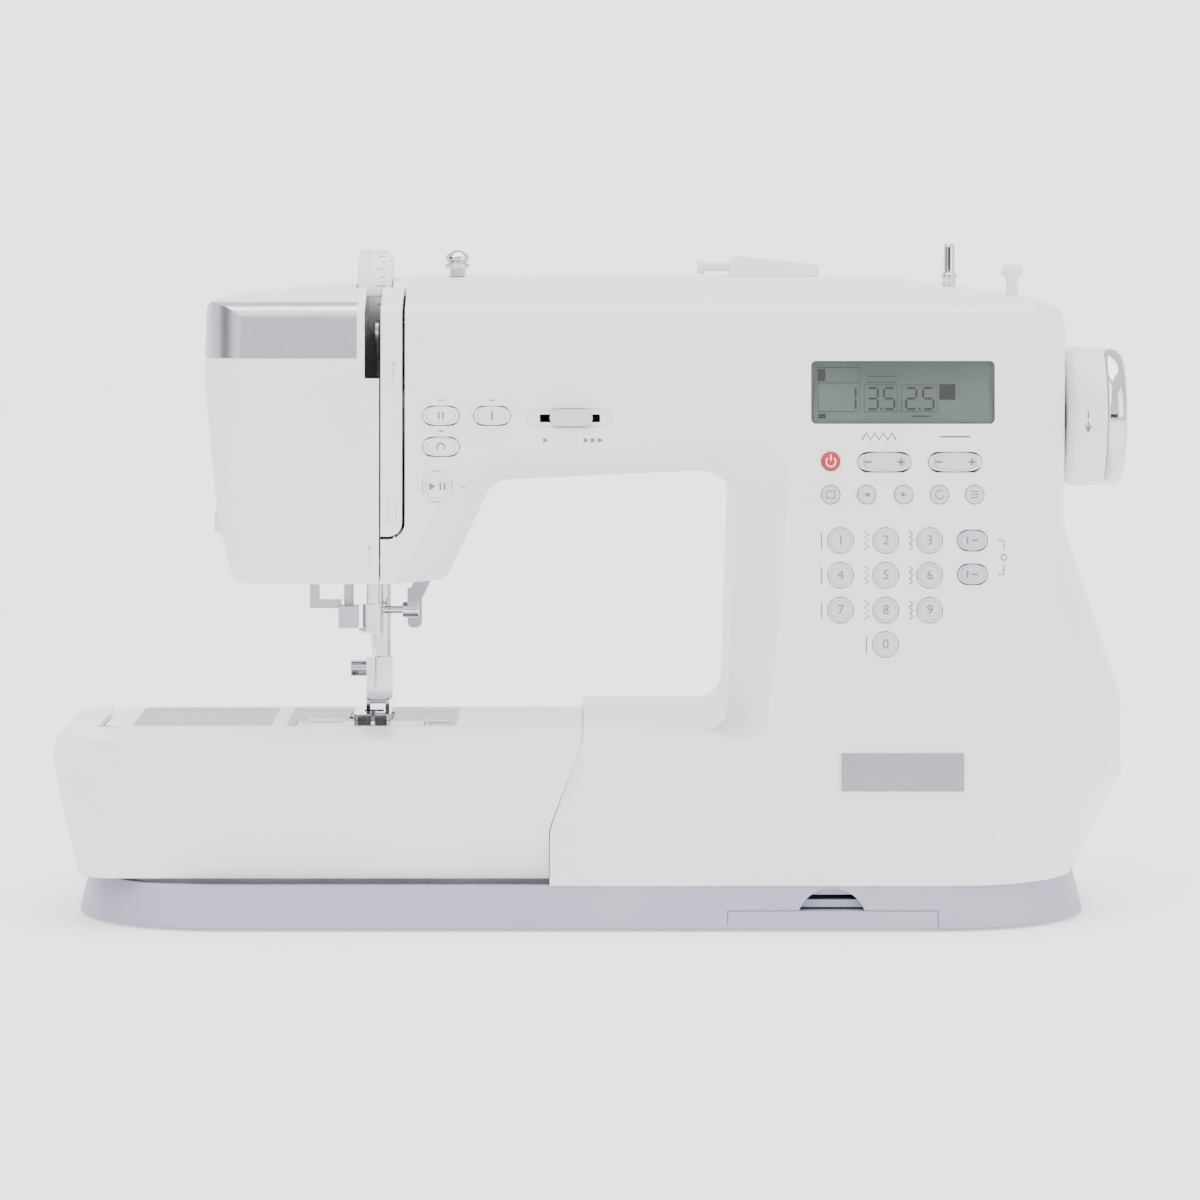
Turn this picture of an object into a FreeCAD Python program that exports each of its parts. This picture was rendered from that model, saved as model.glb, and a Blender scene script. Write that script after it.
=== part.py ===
"""Computerised household sewing machine: casings, drive train, stitch head, hook and controls.

Units are millimetres. +X runs from the free-arm end to the handwheel, +Y is the back, +Z is up.
The origin is on the table, under the middle of the machine's overall box.
"""

import FreeCAD, Part
import math
import os

from FreeCAD import Placement, Rotation, Vector

os.makedirs("parts", exist_ok=True)

# ---------------------------------------------------------------- driving dimensions
WALL = 3.0  # casing wall
GAP = 0.3  # clearance between two casings, and round a moving cap
RUN = 0.05  # running clearance of a shaft in its bush, on the radius

BED_TOP = 76.0  # height of the sewing surface
BASE_TOP = 18.0  # top of the grey base
BASE_BOTTOM = 1.5  # the feet hold the base this far up
BASE_LEFT, BASE_RIGHT = -205.5, 196.0  # base at its top rim
BASE_DEPTH = 174.0  # base at its top rim, front to back
BASE_FLARE = 4.2  # how far the skirt spreads by its bottom edge
BASE_CORNER = 57.0

FRONT_Y0 = -87.5  # front face where it meets the base
FRONT_SLOPE = 0.107  # the front leans back this much per millimetre of height
BACK_Y0 = 84.0
BACK_SLOPE = 0.09

NEEDLE_X = -89.0  # needle axis; its Y is 0
HEAD_BOTTOM = 137.5
SHAFT_Z = 200.5  # upper shaft and handwheel axis; its Y is 0
SHAFT_R = 5.0
LOWER_Y, LOWER_Z = 4.3, 46.0  # lower shaft axis
LOWER_R = 4.0
STROKE = 30.0  # needle bar travel
FREE_ARM_HALF = 38.0  # half the free arm's depth
FREE_ARM_BOTTOM = 30.0
FREE_ARM_LEFT = -201.0
SPLIT_X = -85.2  # the face cover ends here
TILT = math.degrees(math.atan(FRONT_SLOPE))

X_AXIS, Y_AXIS, Z_AXIS = Vector(1, 0, 0), Vector(0, 1, 0), Vector(0, 0, 1)


# ---------------------------------------------------------------- small helpers
def front_y(z):
    """Y of the leaning front face at a height."""
    return FRONT_Y0 + (z - BASE_TOP) * FRONT_SLOPE


def back_y(z):
    return BACK_Y0 - (z - BASE_TOP) * BACK_SLOPE


def box(x1, x2, y1, y2, z1, z2):
    return Part.makeBox(x2 - x1, y2 - y1, z2 - z1, Vector(x1, y1, z1))


def rod(axis, centre, r, start, end):
    """Cylinder along X, Y or Z from start to end; centre gives the other two coordinates."""
    along = {"x": X_AXIS, "y": Y_AXIS, "z": Z_AXIS}[axis]
    a, b = centre
    place = {"x": Vector(start, a, b), "y": Vector(a, start, b), "z": Vector(a, b, start)}[axis]
    return Part.makeCylinder(r, end - start, place, along)


def tube(axis, centre, r_out, r_in, start, end):
    return rod(axis, centre, r_out, start, end).cut(rod(axis, centre, r_in, start - 1, end + 1))


def union(shapes):
    first, rest = shapes[0], list(shapes[1:])
    return first.fuse(rest).removeSplitter() if rest else first


def table_value(rows, at):
    """Linear interpolation in rows of (key, value)."""
    if at <= rows[0][0]:
        return rows[0][1]
    for (k1, v1), (k2, v2) in zip(rows, rows[1:]):
        if at <= k2:
            return v1 + (v2 - v1) * (at - k1) / (k2 - k1)
    return rows[-1][1]


def rounded_wire(x1, x2, y1, y2, z, radii):
    """Closed rectangle with four corner radii: front-left, front-right, back-right, back-left."""
    fl, fr, br, bl = radii
    corners = [
        (Vector(x1, y1, z), fl, 180, 270),
        (Vector(x2, y1, z), fr, 270, 360),
        (Vector(x2, y2, z), br, 0, 90),
        (Vector(x1, y2, z), bl, 90, 180),
    ]
    arcs = []
    for corner, r, a1, a2 in corners:
        sx = 1 if corner.x == x1 else -1
        sy = 1 if corner.y == y1 else -1
        centre = Vector(corner.x + sx * r, corner.y + sy * r, z)
        arcs.append(Part.makeCircle(r, centre, Z_AXIS, a1, a2))
    edges = []
    for i, arc in enumerate(arcs):
        after = arcs[(i + 1) % 4]
        edges.append(arc)
        edges.append(Part.makeLine(arc.valueAt(arc.LastParameter), after.valueAt(after.FirstParameter)))
    return Part.Wire(edges)


def corner_path(points, closed=True):
    """Edges through XZ points (x, z, radius): straight runs with a tangent arc at each rounded corner."""
    count = len(points)
    trims = []
    for i, (x, z, r) in enumerate(points):
        here = Vector(x, 0, z)
        before = Vector(points[i - 1][0], 0, points[i - 1][1])
        after = Vector(points[(i + 1) % count][0], 0, points[(i + 1) % count][1])
        if r == 0:
            trims.append((here, here, here))
            continue
        u = (before - here).normalize()
        v = (after - here).normalize()
        half = math.acos(max(-1.0, min(1.0, u.dot(v)))) / 2
        reach = r / math.tan(half)
        bisector = (u + v).normalize()
        centre = here + bisector * (r / math.sin(half))
        trims.append((here + u * reach, centre - bisector * r, here + v * reach))
    edges = []
    for i, (start, middle, end) in enumerate(trims):
        if (end - start).Length > 1e-6:
            edges.append(Part.Arc(start, middle, end).toShape())
        nxt = trims[(i + 1) % count][0]
        if (nxt - end).Length > 1e-6:
            edges.append(Part.makeLine(end, nxt))
    return Part.Wire(edges)


def slab(points, y1, y2):
    """Prism along Y over an XZ outline of (x, z, radius) corners."""
    wire = corner_path(points)
    wire.translate(Vector(0, y1, 0))
    return Part.Face(wire).extrude(Vector(0, y2 - y1, 0))


def side_slab(points, x1, x2):
    """Prism along X over a YZ outline of (y, z, radius) corners."""
    solid = slab([(y, z, r) for y, z, r in points], -x2, -x1)
    solid.rotate(Vector(0, 0, 0), Z_AXIS, 90)
    return solid


def plan_slab(x1, x2, y1, y2, z1, z2, r):
    return Part.Face(rounded_wire(x1, x2, y1, y2, z1, (r,) * 4)).extrude(Vector(0, 0, z2 - z1))


def on_front(shape):
    """Moves a piece modelled on the plane Y = 0, with Z measured up the slope, to the leaning front."""
    moved = shape.copy()
    moved.Placement = Placement(Vector(0, FRONT_Y0, BASE_TOP), Rotation(X_AXIS, -TILT)).multiply(moved.Placement)
    return moved


def up_slope(z):
    """Distance up the leaning front for a height."""
    return (z - BASE_TOP) / math.cos(math.radians(TILT))


def pill(x, z, width, height, y1, y2):
    """Round-ended block on the front plane, centred on x, z."""
    r = min(width, height) / 2 - 0.01
    w, h = width / 2, height / 2
    return slab([(x - w, z - h, r), (x + w, z - h, r), (x + w, z + h, r), (x - w, z + h, r)], y1, y2)


def revolve_x(profile, y, z):
    """Solid of revolution about an X axis; profile is a closed list of (x, radius)."""
    wire = Part.makePolygon([Vector(x, r, 0) for x, r in profile + profile[:1]])
    solid = Part.Face(wire).revolve(Vector(0, 0, 0), X_AXIS, 360)
    solid.translate(Vector(0, y, z))
    return solid


def save(name, shape):
    solids = shape.Solids
    if not solids:
        raise ValueError(name + " has no solid")
    out = solids[0] if len(solids) == 1 else Part.makeCompound(solids)
    if not out.isValid():
        raise ValueError(name + " is not valid")
    out.exportStep("parts/" + name + ".step")
    return out


# ---------------------------------------------------------------- main casing volume
CASE_OUTLINE = [
    (194, 18, 0),
    (214.8, 58, 16),
    (214.8, 88, 18),
    (190.5, 158, 60),
    (190.5, 248, 12),
    (120, 258, 60),
    (-60, 259.5, 60),
    (-154.5, 250, 5),
    (-156, 220, 30),
    (-150, 165, 40),
    (-143, HEAD_BOTTOM, 8),
    (-59, HEAD_BOTTOM, 6),
    (-40, 177.5, 10),
    (57.5, 182, 14),
    (54.5, BED_TOP, 10),
    (-4, BED_TOP, 1.5),
    (-17, 40, 20),
    (-17, 18, 0),
]
CASE_SIDE = [
    (FRONT_Y0, 18, 0),
    (front_y(247), 247, 6),
    (-26, 258.3, 30),
    (26, 258.3, 30),
    (back_y(247), 247, 10),
    (BACK_Y0, 18, 0),
]
# height, right end and corner radius of the casing seen from above
CASE_SECTIONS = [(17.5, 194.6, 52.0), (58.0, 215.5, 50.0), (88.0, 215.5, 50.0), (158.0, 191.5, 38.0), (262.0, 191.5, 26.0)]


def case_plan(z, right, r):
    """Plan outline at a height: a narrow head and arm, a wider column, round ends."""
    front, back = front_y(z) - 0.4, back_y(z) + 0.4
    return [
        (-156.5, front, 20),
        (right, front, r),
        (right, back, r),
        (-156.5, back, 20),
    ]


def inset_face(points, inset):
    face = Part.Face(corner_path(points))
    return face.makeOffset2D(-inset, 2) if inset else face


def lay_flat(shape):
    shape.rotate(Vector(0, 0, 0), X_AXIS, -90)
    return shape


def casing_volume(inset):
    """The casing as a solid, inset all round; front outline, side profile and plan intersected."""
    front = inset_face(CASE_OUTLINE, inset)
    front.translate(Vector(0, -110, 0))
    front = front.extrude(Vector(0, 220, 0))
    side = inset_face([(y, z, r) for y, z, r in CASE_SIDE], inset)
    side.translate(Vector(0, -240, 0))
    side = side.extrude(Vector(0, 480, 0))
    side.rotate(Vector(0, 0, 0), Z_AXIS, 90)
    rings = []
    for z, right, r in CASE_SECTIONS:
        ring_face = lay_flat(inset_face(case_plan(z, right, r), inset))
        ring_face.translate(Vector(0, 0, z))
        rings.append(ring_face.OuterWire if hasattr(ring_face, "OuterWire") else ring_face.Faces[0].OuterWire)
    plan = Part.makeLoft(rings, True, True)
    return front.common(side).common(plan).cut(harp_chamfer(inset))


def harp_chamfer(grow):
    """Wedge that bevels the front edge of the opening under the arm, widest on the column side."""
    g = grow
    near = [(-59, HEAD_BOTTOM, 0), (-40, 177.5, 10), (57.5, 182, 14), (54.5, BED_TOP, 4), (-59, BED_TOP, 0)]
    reach = [(-32, 0), (-24, 19), (47, 34), (18, 0), (-32, 0)]
    grown = [(-g, -g), (-g, g), (g, g), (g, -g), (-g, -g)]
    inner = [(x + gx, z + gz, r) for (x, z, r), (gx, gz) in zip(near, grown)]
    outer = [(x + dx, z + dz, r + 6 if r else 0) for (x, z, r), (dx, dz) in zip(inner, reach)]
    first, last = corner_path(inner), corner_path(outer)
    first.translate(Vector(0, -50, 0))
    last.translate(Vector(0, -90, 0))
    return Part.makeLoft([first, last], True, True)


outer_volume = casing_volume(0)
inner_volume = casing_volume(WALL)
casing = outer_volume.cut(inner_volume)
floor_hole = Part.Face(rounded_wire(-13.5, 188.5, -82.5, 79.0, 16, (2, 50, 50, 2)))
casing = casing.cut(floor_hole.extrude(Vector(0, 0, 5.5)))

# ---------------------------------------------------------------- base, feet and chart drawer
def base_skirt(top, bottom, inset):
    """Flared block between two rounded outlines at the given heights."""
    wires = []
    for z in (bottom, top):
        flare = BASE_FLARE * (BASE_TOP - z) / (BASE_TOP - BASE_BOTTOM) - inset
        half = BASE_DEPTH / 2 + flare
        r = BASE_CORNER + flare
        wires.append(rounded_wire(BASE_LEFT - flare, BASE_RIGHT + flare, -half, half, z, (r, r, r, r)))
    return Part.makeLoft(wires, True, True)


DRAWER_X1, DRAWER_X2, DRAWER_TOP, DRAWER_BACK = 54.0, 137.4, 8.1, 12.0
base = base_skirt(BASE_TOP, BASE_BOTTOM, 0)
base = base.cut(base_skirt(BASE_TOP + 0.01, 12, 4)).cut(base_skirt(9, BASE_BOTTOM - 0.01, 5))
base = base.cut(box(DRAWER_X1 - GAP, DRAWER_X2 + GAP, -100, -60, 0, DRAWER_TOP + GAP))
thumb = rod("y", (95.3, 2.8), 14.3, -100, -84).common(box(70, 120, -100, -80, DRAWER_TOP, 17.5))
base = base.cut(thumb)
rails = [
    box(DRAWER_X1 - GAP - 4, DRAWER_X1 - GAP, -78, DRAWER_BACK + 4, 1.6, 9),
    box(DRAWER_X2 + GAP, DRAWER_X2 + GAP + 4, -78, DRAWER_BACK + 4, 1.6, 9),
    box(DRAWER_X1 - GAP, DRAWER_X1 + 4, -78, DRAWER_BACK + 4, 1.6, 2.6),
    box(DRAWER_X2 - 4, DRAWER_X2 + GAP, -78, DRAWER_BACK + 4, 1.6, 2.6),
]
FEET = [(-160, -52), (-160, 52), (20, -60), (20, 60), (158, -48), (158, 48)]
FOOT_R = 9.0
bosses = [rod("z", (x, y), FOOT_R + 2, BASE_BOTTOM, 9) for x, y in FEET]
base = union([base] + rails + bosses)
for x, y in FEET:
    base = base.cut(rod("z", (x, y), FOOT_R, 0, 4))
save("base_tray", base)
save("rubber_feet", Part.makeCompound([rod("z", (x, y), FOOT_R, 0, 4) for x, y in FEET]))

drawer = box(DRAWER_X1, DRAWER_X2, -91.5, DRAWER_BACK, 2.9, DRAWER_TOP)
drawer = drawer.fuse(box(DRAWER_X1, DRAWER_X2, -91.5, -80, 1.7, DRAWER_TOP)).removeSplitter()
drawer = drawer.common(base_skirt(BASE_TOP, BASE_BOTTOM, 0))
drawer = drawer.cut(box(DRAWER_X1 + 3, DRAWER_X2 - 3, -80, DRAWER_BACK - 3, 4.5, 20))
save("chart_drawer", drawer)

# ---------------------------------------------------------------- controls on the leaning front
KEY_DEPTH = 5.0


def key_parts(x, z, width, height, proud=1.2, lip=3.0, depth=KEY_DEPTH):
    """Cap with a retaining flange inside, and the hole it works in, in place on the front."""
    s = up_slope(z)
    cap = pill(x, s, width, height, -proud, depth)
    flange = pill(x, s, width + lip, height + lip, 3.9, KEY_DEPTH)
    hole = pill(x, s, width + 2 * GAP, height + 2 * GAP, -6, WALL + 0.5)
    if depth == KEY_DEPTH:
        cap = cap.fuse(flange).removeSplitter()
    return on_front(cap), on_front(hole)


NUMBER_PITCH = 13.8
number_spots = [(x, z) for z in (154.8, 141.0, 127.2) for x in (98.9, 116.9, 134.4)] + [(116.8, 113.6)]
function_spots = [(x, 173.0) for x in (95.0, 109.3, 124.1, 138.4, 152.4)]
memory_spots = [(151.5, 154.8), (151.5, 141.4)]
front_holes = []


def key_group(name, spots, width, height, proud=1.2, lip=3.0, depth=KEY_DEPTH):
    caps = []
    for x, z in spots:
        cap, hole = key_parts(x, z, width, height, proud, lip, depth)
        caps.append(cap)
        front_holes.append(hole)
    save(name, Part.makeCompound(caps) if len(caps) > 1 else caps[0])


key_group("function_keys", function_spots, 7.2, 7.2)
keypad = []
for spots, width, height in ((number_spots, 10.0, 10.0), (memory_spots, 11.8, 8.0)):
    for x, z in spots:
        cap, hole = key_parts(x, z, width, height)
        keypad.append(cap)
        front_holes.append(hole)
save("number_keys", Part.makeCompound(keypad))
key_group("power_key", [(95.0, 186.2)], 7.2, 7.2)
key_group("width_key", [(116.4, 185.9)], 21.0, 7.6)
key_group("length_key", [(144.6, 185.9)], 21.0, 7.6)
key_group("reverse_button", [(-60.4, 204.3)], 14.4, 7.4)
key_group("needle_button", [(-40.1, 204.3)], 14.4, 7.4)
key_group("tie_off_button", [(-60.4, 192.0)], 14.4, 7.4)
key_group("start_stop_button", [(-62.0, 176.2)], 11.6, 12.0, 1.6, 0.0, 2.2)

SLOT_X1, SLOT_X2, SLIDER_Z, SLIDER_X = -27.0, 8.0, 203.4, -8.5
slider_s = up_slope(SLIDER_Z)
knob = pill(SLIDER_X, slider_s, 17.0, 6.6, -3.6, 0.9)
stem = box(SLIDER_X - 3, SLIDER_X + 3, 0.5, 5.0, slider_s - 1.2, slider_s + 1.2)
keeper = box(SLIDER_X - 5, SLIDER_X + 5, 3.3, 5.0, slider_s - 3, slider_s + 3)
save("speed_slider", on_front(union([knob, stem, keeper])))
slider_x_mid = (SLOT_X1 + SLOT_X2) / 2
front_holes.append(on_front(pill(slider_x_mid, slider_s, SLOT_X2 - SLOT_X1, 7.9, -4, 1.2)))
front_holes.append(on_front(box(SLOT_X1 + 6, SLOT_X2 - 5, -4, 4, slider_s - 1.6, slider_s + 1.6)))

LCD_X1, LCD_X2, LCD_Z1, LCD_Z2 = 87.2, 160.5, 201.1, 226.1
s1, s2 = up_slope(LCD_Z1), up_slope(LCD_Z2)


def window_block(grow, y1, y2):
    a, b, c, d = LCD_X1 - grow, LCD_X2 + grow, s1 - grow, s2 + grow
    return on_front(slab([(a, c, 2), (b, c, 2), (b, d, 2), (a, d, 2)], y1, y2))


save("display_window", window_block(0, 0.2, 1.4))
save("display_module", window_block(-0.5, 1.4, 3.0).fuse(window_block(2.5, 3.0, 8.0)).removeSplitter())
front_holes.append(window_block(0, -6, 4))
save("badge_plate", on_front(box(99.1, 148.0, -0.6, 0.8, up_slope(55.4), up_slope(70.5))))
front_holes.append(on_front(box(99.1, 148.0, -4, 0.8, up_slope(55.4), up_slope(70.5))))

board = box(76, 164, 9, 10.6, up_slope(100), up_slope(230))
posts = [rod("y", (x, up_slope(z)), 2.4, WALL, 9) for x, z in ((79.5, 104), (79.5, 226), (158, 104), (158, 194.2))]
posts += [rod("y", (x, up_slope(z)), 1.8, 5.9, 9) for x, z in number_spots + function_spots + memory_spots]
save("control_board", on_front(union([board] + posts)))

# ---------------------------------------------------------------- casing pieces
DIAL_X1, DIAL_X2, DIAL_Y, DIAL_Z, DIAL_R = -94.8, -81.2, -20.0, 251.5, 18.0
BAND_Z1, BAND_Z2, BAND_X = 227.0, 249.3, -94.0
PANEL_X1, PANEL_X2, PANEL_Z, PANEL_BACK = -84.5, -76.0, 156.4, -38.6
CHANNEL_X = -74.8
PANEL_ROUND = 5.5
SPINDLE_X, SPINDLE_Y = 145.2, -18.0
STOPPER_X = 171.0
PIN_X, PIN_Y = -55.0, -18.0
CUTTER = box(-154, -145.5, -30, -23, 153, 163)

dial_slot = rod("x", (DIAL_Y, DIAL_Z), DIAL_R + 0.6, DIAL_X1 - 0.6, DIAL_X2 + 0.6)
case_cuts = list(front_holes)
case_cuts.append(dial_slot)
case_cuts.append(box(-91.0, PANEL_X1, -90, PANEL_BACK, 219, 270))
case_cuts.append(box(SPLIT_X, PANEL_X1, -100, 100, 130, 270).cut(box(-90, -80, -38, 100, 200, 270)))
channel_gap = CHANNEL_X - PANEL_X2


def panel_outline(grow):
    """Front outline of the thread panel, grown by the channel on its right and below."""
    left, right, low, r = PANEL_X1 - 6 * (grow > 0), PANEL_X2 + grow, PANEL_Z - grow, PANEL_ROUND + grow
    return slab([(left, low, 0), (right, low, r), (right, 275, 0), (left, 275, 0)], -90, PANEL_BACK)


case_cuts.append(panel_outline(channel_gap).common(box(PANEL_X1, 0, -95, 0, 100, 300)))
case_cuts.append(box(-107, -77, -13, 20, 130, 145))
case_cuts.append(box(-80, -50, 22.5, 31.5, 130, 152))
case_cuts.append(rod("x", (0, SHAFT_Z), 8.0, 180, 200))
case_cuts.append(rod("z", (SPINDLE_X, SPINDLE_Y), 3.4, 245, 270))
case_cuts.append(rod("z", (STOPPER_X, SPINDLE_Y), 2.5, 240, 260))
case_cuts.append(rod("z", (PIN_X, PIN_Y), 2.2, 245, 270))
case_cuts.append(box(-30, 0, -35, 35, 33, 73))
case_cuts.append(box(152, 178, 60, 100, 31, 51))
case_cuts.append(CUTTER)
LAMP = box(-131, -116, -14, 2, HEAD_BOTTOM - 0.5, HEAD_BOTTOM + 5)
case_cuts.append(LAMP)

band_box = box(-170, BAND_X, -90, 90, BAND_Z1, BAND_Z2)
band_core = casing_volume(1.2)
band = outer_volume.cut(band_core).common(band_box)

shell = casing
for tool in case_cuts:
    shell = shell.cut(tool)
face_side = box(-170, SPLIT_X, -100, 100, 100, 300)
save("face_cover", shell.common(face_side).cut(band))
save("face_band", band.cut(dial_slot).cut(CUTTER))
body_shell = shell.cut(box(-170, PANEL_X1, -100, 100, 100, 300))
save("front_cover", body_shell.common(box(PANEL_X1, 300, -120, 0, 0, 300)))
save("rear_cover", body_shell.common(box(PANEL_X1, 300, 0, 120, 0, 300)))
panel = casing.common(panel_outline(0))
save("thread_panel", panel)
save("sewing_lamp", LAMP)
cutter = CUTTER.cut(rod("y", (-154, 150.5), 4.5, -40, -10))
save("thread_cutter", cutter)

# ---------------------------------------------------------------- free arm and extension table
ARM = FREE_ARM_HALF
arm_right = -4.4
arm_out = slab(
    [(FREE_ARM_LEFT, FREE_ARM_BOTTOM, 4), (arm_right, FREE_ARM_BOTTOM, 0), (arm_right, BED_TOP, 0),
     (FREE_ARM_LEFT, BED_TOP, 4)], -ARM, ARM)
arm_out = arm_out.common(plan_slab(FREE_ARM_LEFT, 40, -ARM, ARM, 20, 90, 16))
arm_in = box(FREE_ARM_LEFT + WALL, 10, -ARM + WALL, ARM - WALL, FREE_ARM_BOTTOM + WALL, BED_TOP - WALL)
arm_in = arm_in.common(plan_slab(FREE_ARM_LEFT + WALL, 60, -ARM + WALL, ARM - WALL, 20, 90, 13))
wedge = slab([(-17, 20, 0), (-17, 40, 20), (-4, BED_TOP, 0), (20, BED_TOP, 0), (20, 20, 0)], -50, 50)
PLATE_Z = BED_TOP - 1.8
CAP = (-188.0, -131.0)
NEEDLE_PLATE = (-125.0, -55.5)
PLATE_HALF = 34.0
arm = arm_out.cut(arm_in).cut(wedge)
arm = arm.cut(plan_slab(CAP[0], CAP[1], -PLATE_HALF, PLATE_HALF, PLATE_Z, 80, 3))
arm = arm.cut(plan_slab(NEEDLE_PLATE[0], NEEDLE_PLATE[1], -PLATE_HALF, PLATE_HALF, PLATE_Z, 80, 3))
arm = arm.cut(box(CAP[0] + 4, CAP[1] - 4, -30, 30, 60, 80))
arm = arm.cut(box(NEEDLE_PLATE[0] + 3, NEEDLE_PLATE[1] - 4, -30.5, 30.5, 60, 80))
save("free_arm_cover", arm)
save("free_arm_plate", plan_slab(CAP[0], CAP[1], -PLATE_HALF, PLATE_HALF, PLATE_Z, BED_TOP, 3))

plate = plan_slab(NEEDLE_PLATE[0], NEEDLE_PLATE[1], -PLATE_HALF, PLATE_HALF, PLATE_Z, BED_TOP, 3)
COVER_X1, COVER_X2, COVER_Y = -121.0, -69.0, -15.0
plate = plate.cut(box(COVER_X1 - GAP, COVER_X2 + GAP, -PLATE_HALF - 1, COVER_Y + GAP, 70, 80))
tabs = [box(x, x + 3.3, -24, -18, PLATE_Z - 1, PLATE_Z + 0.4) for x in (COVER_X1 - GAP, COVER_X2 - 3)]
tabs += [box(x, x + 2, -24, -18, PLATE_Z - 1, PLATE_Z) for x in (COVER_X1 - 0.9, COVER_X2 + GAP - 0.1)]
plate = union([plate] + tabs)
plate = plate.cut(box(-94, -87, -1.6, 1.6, 70, 80))
FEED_ROWS = (-98.5, -84.5)
for x in FEED_ROWS:
    plate = plate.cut(box(x - 2.0, x + 2.0, -8, 17, 70, 80))
plate = plate.cut(box(-67, -58, -24, -21.5, 70, 80))
save("needle_plate", plate)
cover = box(COVER_X1, COVER_X2, -PLATE_HALF + GAP, COVER_Y, PLATE_Z + 0.4, BED_TOP)
save("bobbin_cover", cover)

TABLE_OUTLINE = [
    (-206, 20, 0),
    (-219, 66, 14),
    (-216, BED_TOP, 6),
    (-4.3, BED_TOP, 0),
    (-17.4, 40, 20),
    (-17.4, 20, 0),
]
TABLE_SIDE = [(-80, 20, 0), (-88.5, 66, 14), (-86, BED_TOP, 6), (38.5, BED_TOP, 2), (38.5, 20, 0)]


def table_volume(inset):
    front = inset_face(TABLE_OUTLINE, inset)
    front.translate(Vector(0, -110, 0))
    front = front.extrude(Vector(0, 220, 0))
    side = inset_face([(y, z, r) for y, z, r in TABLE_SIDE], inset)
    side.translate(Vector(0, -260, 0))
    side = side.extrude(Vector(0, 520, 0))
    side.rotate(Vector(0, 0, 0), Z_AXIS, 90)
    plan = rounded_wire(-219.5 + inset, 40, -89 + inset, 38.5 - inset, 0, (52 - inset, 2, 2, 20 - inset))
    return front.common(side).common(Part.Face(plan).extrude(Vector(0, 0, 100)))


table = table_volume(0).cut(table_volume(WALL))
table = table.cut(table_volume(WALL).translated(Vector(0, 0, -6)).common(box(-300, 100, -100, 100, 10, 30)))
opening = box(FREE_ARM_LEFT - 0.6, 30, -ARM - 0.6, 60, 0, 100)
liner = box(FREE_ARM_LEFT - 3.0, 30, -ARM - 3.0, 60, 0, 100).common(table_volume(0)).cut(opening)
table = table.cut(opening).fuse(liner).removeSplitter()
save("extension_table", table)

# ---------------------------------------------------------------- cast frame
FY1, FY2 = 20.0, 26.0
PRESSER_X, PRESSER_Y, PRESSER_R = -87.0, 12.0, 3.2
BAR_X, BAR_R = -90.5, 3.0
THREADER_X, THREADER_Y = -101.0, 4.0
HOOK_X, HOOK_Y, HOOK_R = -105.0, -14.0, 19.0
GEAR_X1, GEAR_X2 = -109.0, -101.0
BUSH = 3.0
UPPER_LUGS = [(-70, -60), (60, 70), (142, 152)]
LOWER_LUGS = [(-96, -90), (60, 68), (126, 134)]

frame_blocks = [
    box(-80, 152, FY1, FY2, 188, 222),
    box(96, 152, FY1, FY2, 12, 222),
    box(-122, 152, FY1, FY2, 34, 58),
    box(-80, -68, FY1, FY2, 141, 200),
    box(-83.5, -70, FY1, FY2, 200, 238),
    box(50, 152, -45, 60, 12, 16),
    box(-105, -76, -6, FY2, 141, 145),
    box(-98, -82.6, -6, FY2, 192, 204),
    box(-98, -70, FY1, FY2, 192, 204),
    box(-83.5, -76, 6, FY2, 227, 237),
    rod("x", (10, 232), 3.0, -88, -80),
    box(138, 152, FY1, FY2, 222, 231),
    box(138, 152, -28, FY2, 226, 231),
    box(-122, -110, -20, FY2, 51.5, 56.5),
    box(-112, -98, -20, -8.6, 51.5, 56.5),
]
for x1, x2 in UPPER_LUGS:
    frame_blocks.append(box(x1, x2, -11, FY2, SHAFT_Z - 10, SHAFT_Z + 10))
for x1, x2 in LOWER_LUGS:
    frame_blocks.append(box(x1, x2, LOWER_Y - 8, FY2, LOWER_Z - 9, LOWER_Z + 9))
casting = union(frame_blocks)
bushes = []


def bush(axis, centre, r, start, end):
    """Bores the casting for a bearing bush and adds the bush."""
    bushes.append(tube(axis, centre, r + BUSH, r + RUN, start, end))
    return rod(axis, centre, r + BUSH, start, end)


for x1, x2 in UPPER_LUGS:
    casting = casting.cut(bush("x", (0, SHAFT_Z), SHAFT_R, x1, x2))
for x1, x2 in LOWER_LUGS:
    casting = casting.cut(bush("x", (LOWER_Y, LOWER_Z), LOWER_R, x1, x2))
casting = casting.cut(rod("z", (BAR_X, 0), BAR_R + 0.05, 130, 210))
casting = casting.cut(rod("z", (PRESSER_X, PRESSER_Y), PRESSER_R + 0.05, 130, 210))
casting = casting.cut(rod("z", (THREADER_X, THREADER_Y), 2.05, 130, 210))
casting = casting.cut(rod("z", (HOOK_X, HOOK_Y), 3.05, 40, 60))
casting = casting.cut(rod("z", (SPINDLE_X, SPINDLE_Y), 2.85, 220, 240))
GUIDES = [(-96.0, 65.0), (-85.0, 65.0)]
guide_pins = [rod("y", (x, z), 1.5, 6, FY1) for x, z in GUIDES]
casting = union([casting, box(-100, -81, FY1, FY2, 56, 68)] + guide_pins)
lift_pivot = rod("y", (-66, 143), 2.0, 21.0, 31.0)
casting = union([casting, box(-71, -64, FY1, 23.5, 141, 190)]).fuse(lift_pivot).removeSplitter()
save("frame_casting", casting)
save("shaft_bushes", Part.makeCompound(bushes))

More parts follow.
